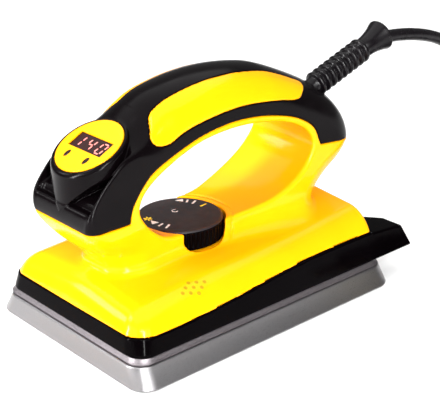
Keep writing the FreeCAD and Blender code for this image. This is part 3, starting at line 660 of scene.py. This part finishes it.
def face_place():
    return Matrix.Translation(FACE) @ Matrix.Rotation(math.radians(-FACE_TILT), 4, "Y")


def placed_field(name, field, low, high, step, place):
    points, quads, normals = surface_of(field, low, high, step)
    points = np.array([list(place @ Vector(p)) for p in points])
    turn = np.array(place.to_3x3())
    return new_object(name, points, quads.tolist(), normals @ turn.T)


WINDOW_U, WINDOW_HALF_U, WINDOW_HALF_V = 0.9, 4.15, 10.75
LIGHT_U, LIGHT_V = -7.2, 6.2


def light_oval(u, v, grow):
    """The slanted oval of an indicator light."""
    along = (u - LIGHT_U) / (2.0 + grow)
    aside = (np.abs(v) - LIGHT_V) / (1.15 + grow)
    return (np.hypot(along, aside) - 1) * 0.85


def face_field(u, v, w):
    disc = meet(np.hypot(u, v) - FACE_RADIUS + 0.05, np.abs(w + 0.35) - 0.45, 0.3)
    window = rounded_rectangle(u - WINDOW_U, v, WINDOW_HALF_U, WINDOW_HALF_V, 0.35)
    return meet(disc, -np.minimum(window, light_oval(u, v, 0.0)), 0.12)


def lens_field(u, v, w):
    """The two indicator lenses, a little smaller than their holes."""
    return meet(light_oval(u, v, -0.08), np.abs(w + 0.6) - 0.75, 0.2)


def build_display():
    """The yellow face, its tinted window, the glowing digits and the two lenses."""
    place = face_place()
    step = 0.27
    face = placed_field("display_face_plate", face_field,
                        (-16, -16, -1.4), (16, 16, 0.8), step, place)
    use_material(face, YELLOW)
    finish_piece(face, "iron", "yellow_gloss", "display_face")
    window = stack("display_window_pane", [(WINDOW_U, WINDOW_HALF_U + r, WINDOW_HALF_V + r, 0.5, z)
                                           for r, z in ((0.2, -1.6), (0.2, -0.75), (0.05, -0.6))], 4)
    window.data.transform(place_in_metres(place))
    use_material(window, WINDOW_DARK)
    finish_piece(soft_edges(window), "iron", "window_tint", "display_window")
    digits = digit_mesh()
    digits.data.transform(place_in_metres(place))
    use_material(digits, GLOW)
    finish_piece(digits, "iron", "window_tint")
    lenses = placed_field("indicator_lens_pair", lens_field,
                          (-10, -8, -1.6), (-4.5, 8, 0.4), step * 0.8, place)
    use_material(lenses, LENS_DARK)
    finish_piece(lenses, "iron", "lens_dark", "indicator_lenses")


def place_in_metres(place):
    moved = place.copy()
    moved.translation = place.translation * MM
    return moved


SEGMENTS = {"1": "bc", "4": "fgbc", "0": "abcdef"}


def digit_mesh():
    """Three seven-segment digits. v runs to the reader's right and u upwards, both on the face."""
    half_high, half_wide, thick = 2.8, 1.6, 0.31
    ends = {"a": ((-1, 1), (1, 1)), "b": ((1, 1), (1, 0)), "c": ((1, 0), (1, -1)), "d": ((-1, -1), (1, -1)),
            "e": ((-1, 0), (-1, -1)), "f": ((-1, 1), (-1, 0)), "g": ((-1, 0), (1, 0))}
    points, faces = [], []
    for digit, middle in zip("140", (-7.4, -0.3, 6.8)):
        for letter in SEGMENTS[digit]:
            (x0, y0), (x1, y1) = ends[letter]
            a = np.array([middle + x0 * half_wide + y0 * 0.5, y0 * half_high])
            b = np.array([middle + x1 * half_wide + y1 * 0.5, y1 * half_high])
            along = (b - a) / np.linalg.norm(b - a)
            side = np.array([-along[1], along[0]]) * thick
            a, b = a + along * 0.28, b - along * 0.28
            outline = [a, a + along * thick + side, b - along * thick + side, b,
                       b - along * thick - side, a + along * thick - side]
            base = len(points)
            for level, shrink in ((-0.62, 1.0), (-0.46, 0.8)):
                centre = (a + b) / 2
                for p in outline:
                    q = centre + (p - centre) * (shrink if level > -0.5 else 1.0)
                    points.append((WINDOW_U + q[1], -q[0], level))
            faces.append([base + 6 + k for k in range(6)])
            for k in range(6):
                j = (k + 1) % 6
                faces.append([base + k, base + j, base + 6 + j, base + 6 + k])
    return soft_edges(faced_outwards(new_object("display_digits", points, faces)))


def build_dial():
    """The knob, from (radius, height, share of the grooves' depth), and its printed marks."""
    low, ribs = DIAL_TOP - DIAL_HEIGHT, 56
    around = ribs * 8
    angle = np.arange(around) * 2 * math.pi / around
    rib = np.clip((0.5 + 0.5 * np.cos(angle * ribs)) * 1.6 - 0.3, 0, 1)
    profile = [(DIAL_RADIUS - 2.0, low + 0.3, 0), (DIAL_RADIUS - 0.9, low, 0),
               (DIAL_RADIUS - 0.35, low + 0.35, 0), (DIAL_RADIUS - 0.1, low + 1.0, 0.3),
               (DIAL_RADIUS, low + 1.6, 1), (DIAL_RADIUS, low + 4.2, 1),
               (DIAL_RADIUS, DIAL_TOP - 2.0, 1), (DIAL_RADIUS - 0.05, DIAL_TOP - 1.5, 0.3),
               (DIAL_RADIUS - 0.1, DIAL_TOP - 1.2, 0), (DIAL_RADIUS - 0.2, DIAL_TOP - 0.8, 0),
               (DIAL_RADIUS - 0.75, DIAL_TOP - 0.22, 0), (DIAL_RADIUS - 1.1, DIAL_TOP - 0.05, 0),
               (DIAL_RADIUS - 1.6, DIAL_TOP, 0), (DIAL_RADIUS - 2.1, DIAL_TOP - 0.12, 0),
               (12.0, DIAL_TOP - 0.14, 0), (6.0, DIAL_TOP - 0.16, 0), (0.6, DIAL_TOP - 0.16, 0)]
    points = []
    for radius, z, depth in profile:
        r = radius - GROOVE_DEPTH * depth * (1 - rib)
        points.append(np.stack([DIAL_X + r * np.cos(angle), r * np.sin(angle), np.full(around, z)], 1))
    knob = new_object("temperature_dial_knob", np.vstack(points), ring_faces(len(profile), around))
    use_material(knob, DIAL_BLACK, BLACK_GLOSS)
    for polygon in knob.data.polygons:
        if lowest_point(knob, polygon) < (DIAL_TOP - 0.9) * MM:
            polygon.material_index = 1
    finish_piece(soft_edges(knob, 50), "dial", "dial_black", "temperature_dial")
    marks_white, marks_yellow = dial_marks()
    for name, shapes, material in (("dial_marks_white", marks_white, PRINT_WHITE),
                                   ("dial_marks_yellow", marks_yellow, PRINT_YELLOW)):
        piece = plates(name, shapes, DIAL_TOP - 0.14, 0.07)
        use_material(piece, material)
        finish_piece(piece, "dial", "dial_black")


def turned(shape, angle, radius):
    """A flat shape near the origin, moved out to a radius and turned round the dial's axis."""
    a = math.radians(angle)
    out, along = np.array([math.cos(a), math.sin(a)]), np.array([-math.sin(a), math.cos(a)])
    return [np.array([DIAL_X, 0.0]) + out * (radius + p[1]) + along * p[0] for p in shape]


def dial_marks():
    """Generic marks round the dial's rim: wedges, bars, a small star and an arc."""
    wedge = [(-2.2, 0), (1.6, -1.7), (1.6, 1.7)]
    back_wedge = [(2.0, 0), (-1.5, 1.4), (-1.5, -1.4)]
    white = [turned(wedge, 175.6, 14.0), turned(back_wedge, 49.8, 15.6)]
    for angle, radius, long in ((193.4, 13.9, 1.6), (207.8, 13.8, 2.0), (37.0, 15.1, 1.4), (24.4, 14.8, 1.8)):
        white.append(turned([(-0.45, -long), (0.45, -long), (0.45, long), (-0.45, long)], angle, radius))
    yellow = [turned([(-0.4, -1.9), (0.4, -1.9), (0.4, 1.9), (-0.4, 1.9)], 3.5, 14.5)]
    for k in range(3):
        a = math.radians(60 * k)
        arm = np.array([math.cos(a), math.sin(a)])
        side = np.array([-arm[1], arm[0]]) * 0.36
        yellow.append(turned([arm * 2 + side, -arm * 2 + side, -arm * 2 - side, arm * 2 - side], 158.0, 14.6))
    for k in range(8):
        a, b = math.radians(40 + 34 * k), math.radians(40 + 34 * (k + 1))
        ring = [(1.5 * math.cos(a), 1.5 * math.sin(a)), (1.5 * math.cos(b), 1.5 * math.sin(b)),
                (1.15 * math.cos(b), 1.15 * math.sin(b)), (1.15 * math.cos(a), 1.15 * math.sin(a))]
        white.append([np.array([DIAL_X + 0.9, 4.4]) + p for p in ring])
    return white, yellow


def plates(name, shapes, z, thick):
    """Thin raised prisms from flat outlines."""
    points, faces = [], []
    for shape in shapes:
        base, count = len(points), len(shape)
        for level in (z, z + thick):
            points += [(p[0], p[1], level) for p in shape]
        faces.append([base + count + k for k in range(count)])
        faces.append([base + k for k in range(count)][::-1])
        for k in range(count):
            j = (k + 1) % count
            faces.append([base + k, base + j, base + count + j, base + count + k])
    return soft_edges(faced_outwards(new_object(name, points, faces)))


def relief_place():
    return Matrix.Translation(RELIEF_BASE) @ Matrix.Rotation(math.radians(90 - RELIEF_TILT), 4, "Y")


def build_strain_relief():
    """The ribbed boot and its flared end, hollow where the lead goes through."""
    core, rib, pitch = 4.35, 1.55, 3.9
    profile = [(0.3, -8.0), (core, -8.0), (core, 1.8)]
    for k in range(9):
        middle = 3.6 + pitch * k
        for a in np.linspace(-75, 75, 9):
            s = math.sin(math.radians(a))
            profile.append((core + 0.1 + (rib + 0.1) * math.cos(math.radians(a)), middle + 1.35 * s))
        profile.append((core, middle + pitch / 2))
    profile += [(4.9, 38.0), (5.1, 40.5), (5.6, 43.5), (6.3, 46.3), (7.15, 48.9), (7.64, 50.0), (7.68, 50.35),
                (7.5, 50.6), (7.0, 50.55), (6.6, 50.0), (5.2, 46.0), (4.0, 41.0), (3.3, 37.6), (0.3, 37.2)]
    piece = lathe("strain_relief_boot", profile, relief_place(), 80)
    use_material(piece, RELIEF_BLACK)
    finish_piece(soft_edges(piece, 60), "iron", "relief_rubber", "strain_relief")


def relief_axis(distance):
    tilt = math.radians(RELIEF_TILT)
    return (RELIEF_BASE[0] + distance * math.cos(tilt), 0.0, RELIEF_BASE[2] + distance * math.sin(tilt))


# ---- the mains lead, in metres ----
LEAD_START = [tuple(c * MM for c in relief_axis(32.0)),
              (0.1145, 0, 0.0995), (0.130, 0, 0.0987), (0.146, 0, 0.0962), (0.163, 0.0005, 0.0914),
              (0.181, 0.0015, 0.0825), (0.1995, 0.0012, 0.0685), (0.217, -0.001, 0.0505),
              (0.232, -0.0068, 0.033), (0.2448, -0.0173, 0.0195), (0.254, -0.0315, 0.012)]
LEAD_END = [(0.189, -0.0994, 0.0039), (0.174, -0.0962, 0.0052), (0.165, -0.0936, 0.0064),
            (0.156, -0.0924, 0.0072)]
TURNS, POINTS_PER_TURN = 4, 20
COIL_WIDE, COIL_NARROW = 0.0498, 0.0242
COIL_HIGH, COIL_LOW = 0.0101, 0.0037


def coil_points():
    """Four turns inwards on top, a drop, and four turns outwards beneath them."""
    points = []
    count = TURNS * POINTS_PER_TURN
    drop = POINTS_PER_TURN // 4
    for k in range(2 * count + drop - 1):
        angle = -2 * math.pi * k / POINTS_PER_TURN
        if k < count:
            share, z = k / count, COIL_HIGH
        elif k <= count + drop:
            share, z = 1.0, COIL_HIGH + (COIL_LOW - COIL_HIGH) * (k - count) / drop
        else:
            share, z = 1 - (k - count - drop) / count, COIL_LOW
        radius = COIL_WIDE + (COIL_NARROW - COIL_WIDE) * share
        points.append((COIL_X * MM + radius * math.cos(angle), COIL_Y * MM + radius * math.sin(angle), z))
    return points


def build_cord():
    route = LEAD_START + coil_points()[:-1] + LEAD_END
    curve = bpy.data.curves.new("mains_lead", "CURVE")
    curve.dimensions = "3D"
    spline = curve.splines.new("NURBS")
    spline.points.add(len(route) - 1)
    for point, place in zip(spline.points, route):
        point.co = (*place, 1.0)
    spline.order_u = 3
    spline.use_endpoint_u = True
    spline.resolution_u = 8
    curve.bevel_depth = CORD_RADIUS * MM
    curve.bevel_resolution = 5
    curve.use_fill_caps = True
    lead = bpy.data.objects.new("mains_lead", curve)
    bpy.context.scene.collection.objects.link(lead)
    curve.materials.append(CORD_BLACK)
    finish_piece(lead, "iron", "cord_rubber", "cord", "cord_coil", "cord_end")
    return lead


def build_tie():
    """A hook-and-loop strap round the coil's far side."""
    wide, narrow, top = 53.4, 20.6, 13.9
    middle_r, middle_z = (wide + narrow) / 2, top / 2
    outline = rounded_rectangle_points(middle_r, middle_z, (wide - narrow) / 2, middle_z, 2.6, 8)
    inner = rounded_rectangle_points(middle_r, middle_z, (wide - narrow) / 2 - 0.9,
                                     middle_z - 0.6, 2.0, 8)
    points, faces = [], []
    count = len(outline)
    levels = [(-6.0, 0.25), (-5.7, 0.0), (5.7, 0.0), (6.0, 0.25)]
    for ring, sign in ((outline, 1), (inner, -1)):
        for along, inset in levels:
            for r, z in ring:
                shrink = 1 - sign * inset / 20
                points.append((COIL_X - (middle_r + (r - middle_r) * shrink), COIL_Y - along,
                               middle_z + (z - middle_z) * shrink))
    for layer in (0, 4):
        for k in range(3):
            for i in range(count):
                j = (i + 1) % count
                a, b = (layer + k) * count, (layer + k + 1) * count
                quad = (a + i, a + j, b + j, b + i)
                faces.append(quad if layer == 0 else quad[::-1])
    for a, b in ((0, 4 * count), (3 * count, 7 * count)):
        for i in range(count):
            j = (i + 1) % count
            faces.append((a + i, a + j, b + j, b + i))
    piece = faced_outwards(new_object("cord_tie_strap", points, faces))
    use_material(piece, TIE)
    return finish_piece(soft_edges(piece, 50), "iron", "tie_fabric", "cord_tie")


def rounded_rectangle_points(cx, cy, half_x, half_y, corner, steps):
    points = []
    for sx, sy, turn in ((1, 1, 0), (-1, 1, 1), (-1, -1, 2), (1, -1, 3)):
        for k in range(steps + 1):
            a = math.pi / 2 * (turn + k / steps)
            points.append((cx + sx * (half_x - corner) + corner * math.cos(a),
                           cy + sy * (half_y - corner) + corner * math.sin(a)))
    return points


PLUG = (156.0, -92.4, 7.2)
PLUG_BOOT, PLUG_LENGTH, PLUG_HALF_WIDTH, PLUG_HALF_HEIGHT = 26.0, 34.0, 13.0, 6.8


def plug_field(x, y, z):
    """The plug's body with a waisted grip and a ribbed boot."""
    along = PLUG[0] - x
    dy, dz = y - PLUG[1], z - PLUG[2]
    middle = PLUG_BOOT + PLUG_LENGTH / 2
    waist = 1.6 * np.exp(-((along - middle + 2) / 7.0) ** 2)
    body = rounded_rectangle(dy, dz, PLUG_HALF_WIDTH - waist, PLUG_HALF_HEIGHT - waist * 0.3, 4.2)
    body = meet(body, np.abs(along - middle) - PLUG_LENGTH / 2, 1.6)
    out = np.hypot(dy, dz)
    ribs = 0.55 * np.cos(along * 2 * math.pi / 3.6) * (1 - ramp(18, 22, along))
    ends = np.abs(along - PLUG_BOOT / 2 - 1) - PLUG_BOOT / 2 - 1 + 0.01
    boot = meet(out - 4.3 - 0.07 * along - ribs, ends, 0.5)
    lines = 0.35 * (np.abs(((along - middle) / 3.0 + 0.5) % 1 - 0.5) < 0.13) * (np.abs(along - middle) < 9)
    return join(body + lines * (np.abs(dz) > 3), boot, 2.5)


def build_plug():
    step = 0.55
    front = PLUG[0] - PLUG_BOOT - PLUG_LENGTH
    body = field_object("plug_moulding", plug_field, (front - 1, PLUG[1] - 14.2, -0.6),
                        (PLUG[0] + 1.2, PLUG[1] + 14.2, 15.2), step)
    use_material(body, PLUG_BLACK)
    finish_piece(body, "iron", "plug_rubber", "plug_body")
    parts = []
    for y, z in ((-9.5, 1.5), (9.5, 1.5), (0.0, -3.5)):
        place = Matrix.Translation((front, PLUG[1] + y, PLUG[2] + z))
        place = place @ Matrix.Rotation(math.radians(-90), 4, "Y")
        profile = [(2.0, -1.0), (2.0, 17.4), (1.85, 18.2), (1.4, 18.8), (0.5, 19.0)]
        parts.append(lathe("plug_pin", profile, place, 32))
    pins = merge("plug_pin_set", parts)
    use_material(pins, BRASS)
    finish_piece(soft_edges(pins), "iron", "plated_brass", "plug_pins")
    return body, pins


def merge(name, pieces):
    """One object from several."""
    bm = bmesh.new()
    for piece in pieces:
        bm.from_mesh(piece.data)
    mesh = bpy.data.meshes.new(name)
    bm.to_mesh(mesh)
    bm.free()
    for piece in pieces:
        bpy.data.objects.remove(piece)
    mesh.shade_smooth()
    made = bpy.data.objects.new(name, mesh)
    bpy.context.scene.collection.objects.link(made)
    return made


def shell_height(x, y):
    """Walks down from above to the height of the yellow shell's outside."""
    z = 40.0
    for _ in range(200):
        value = float(shell_outside(np.array([x]), np.array([y]), np.array([z]))[0])
        if value < 0.002:
            break
        z -= max(value * 0.7, 0.002)
    return z


VENT_X, VENT_Y, VENT_RADIUS = -35.7, -37.1, 0.85


def build_vents():
    """Nine small vents on the shell's near shoulder, as dark discs of painted shade set a little into it."""
    cups = []
    for i in (-1, 0, 1):
        for j in (-1, 0, 1):
            x = VENT_X + 3.33 * i - 2.8 * j
            y = VENT_Y - 1.2 * i - 1.48 * j
            z = shell_height(x, y)
            slope = slope_of(shell_outside, np.array([[x, y, z]]), 0.3)[0]
            turn = Vector(slope).to_track_quat("Z", "Y").to_matrix().to_4x4()
            place = Matrix.Translation((x, y, z)) @ turn
            profile = [(VENT_RADIUS, -0.3), (VENT_RADIUS, 0.03), (0.6, 0.05), (0.2, 0.03)]
            cups.append(lathe("vent", profile, place, 20))
    vents = merge("vent_dimples", cups)
    # the vent discs carry painted shade in place of the shade inside real vents
    use_material(vents, VENT_PAINTED_SHADE)
    finish_piece(soft_edges(vents), "iron", "yellow_gloss")


CAD_MATERIALS = {
    STEEL: ("heating_element", "heat_shield", "thermal_fuse", "temperature_sensor", "dial_shaft",
            "potentiometer", "potentiometer_nut", "board_screws", "sole_screws", "shell_screws"),
    FELT: ("insulation_pad",),
    BOARD: ("display_board", "control_board"),
    PARTS_GREY: ("display_module", "board_components"),
    CERAMIC: ("terminal_block",),
    BRASS: ("terminal_screws",),
    WIRE: ("mains_wires", "heater_wires", "display_lead"),
}


def dress_cad_nodes():
    """Gives the inner CAD nodes, whose shapes stay, their own materials."""
    for material, names in CAD_MATERIALS.items():
        for name in names:
            use_material(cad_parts[name], material)


# ---- stage ----
def area_light(name, place, target, size_x, size_y, power):
    light = bpy.data.lights.new(name, "AREA")
    light.shape = "RECTANGLE"
    light.size, light.size_y, light.energy = size_x, size_y, power
    made = bpy.data.objects.new(name, light)
    made.location = place
    made.rotation_mode = "QUATERNION"
    made.rotation_quaternion = (Vector(target) - Vector(place)).to_track_quat("-Z", "Y")
    bpy.context.scene.collection.objects.link(made)


FLOOR_HALF, FLOOR_LEVEL = 4, -0.0004


def build_stage():
    """The pale floor, the dim white world and the lights, in metres and watts."""
    mesh = bpy.data.meshes.new("floor")
    corners = ((-1, -1), (1, -1), (1, 1), (-1, 1))
    mesh.from_pydata([(FLOOR_HALF * x, FLOOR_HALF * y, FLOOR_LEVEL) for x, y in corners],
                     [], [(0, 1, 2, 3)])
    floor = bpy.data.objects.new("floor", mesh)
    bpy.context.scene.collection.objects.link(floor)
    nodes = Nodes("pale_floor")
    nodes.set(Roughness=0.9, Specular_IOR_Level=0.1)
    nodes.link(nodes.ramp(nodes.noise(3.0, 2.0), (0.93, 0.93, 0.93), (0.95, 0.95, 0.95)), "Base Color")
    floor.data.materials.append(nodes.material)
    world = bpy.data.worlds.new("studio")
    world.use_nodes = True
    world.node_tree.nodes["Background"].inputs["Color"].default_value = (1, 1, 1, 1)
    world.node_tree.nodes["Background"].inputs["Strength"].default_value = 0.2
    bpy.context.scene.world = world
    target = (0, 0, 0.05)
    area_light("top", (0.1, 0.3, 1.5), target, 2.2, 2.2, 22)
    area_light("front_left", (-1.3, -0.3, 0.75), target, 0.8, 0.8, 3.0)
    area_light("front_right", (-0.3, -1.3, 0.75), target, 0.8, 0.8, 5.5)
    area_light("corner_box", (-0.68, 0.38, 0.98), target, 0.28, 0.28, 3.2)
    area_light("pit_box", (-0.56, 0.6, 0.5), (-0.066, -0.01, 0.07), 0.2, 0.2, 1.6)
    area_light("key_strip", (-0.45, -0.72, 0.7), target, 0.35, 0.05, 4.0)
    area_light("strip_left", (-1.05, 0.22, 0.35), target, 0.05, 0.7, 17)
    area_light("strip_right", (-0.5, -0.94, 0.35), target, 0.05, 0.7, 17)
    bpy.context.scene.view_settings.view_transform = "Standard"


def build_camera():
    """The viewpoint: azimuth and elevation in degrees, distance from the aim point in metres."""
    azimuth, elevation, distance = math.radians(-42.04), math.radians(23.15), 0.5332
    aim = Vector((0.0127, 0.00049, 0.040))
    back = Vector((math.sin(azimuth) * math.cos(elevation), -math.cos(azimuth) * math.cos(elevation),
                   math.sin(elevation)))
    data = bpy.data.cameras.new("camera")
    data.lens, data.sensor_width = 96.42, 36.0
    data.clip_start, data.clip_end = 0.01, 20.0
    camera = bpy.data.objects.new("camera", data)
    camera.location = aim + back * distance
    camera.rotation_mode = "QUATERNION"
    camera.rotation_quaternion = (-back).to_track_quat("-Z", "Y")
    bpy.context.scene.collection.objects.link(camera)
    bpy.context.scene.camera = camera


build_camera()
lead = build_cord()
tie = build_tie()
plug, pins = build_plug()
build_sole()
build_casings()
build_display()
build_dial()
build_strain_relief()
build_vents()
dress_cad_nodes()
build_stage()
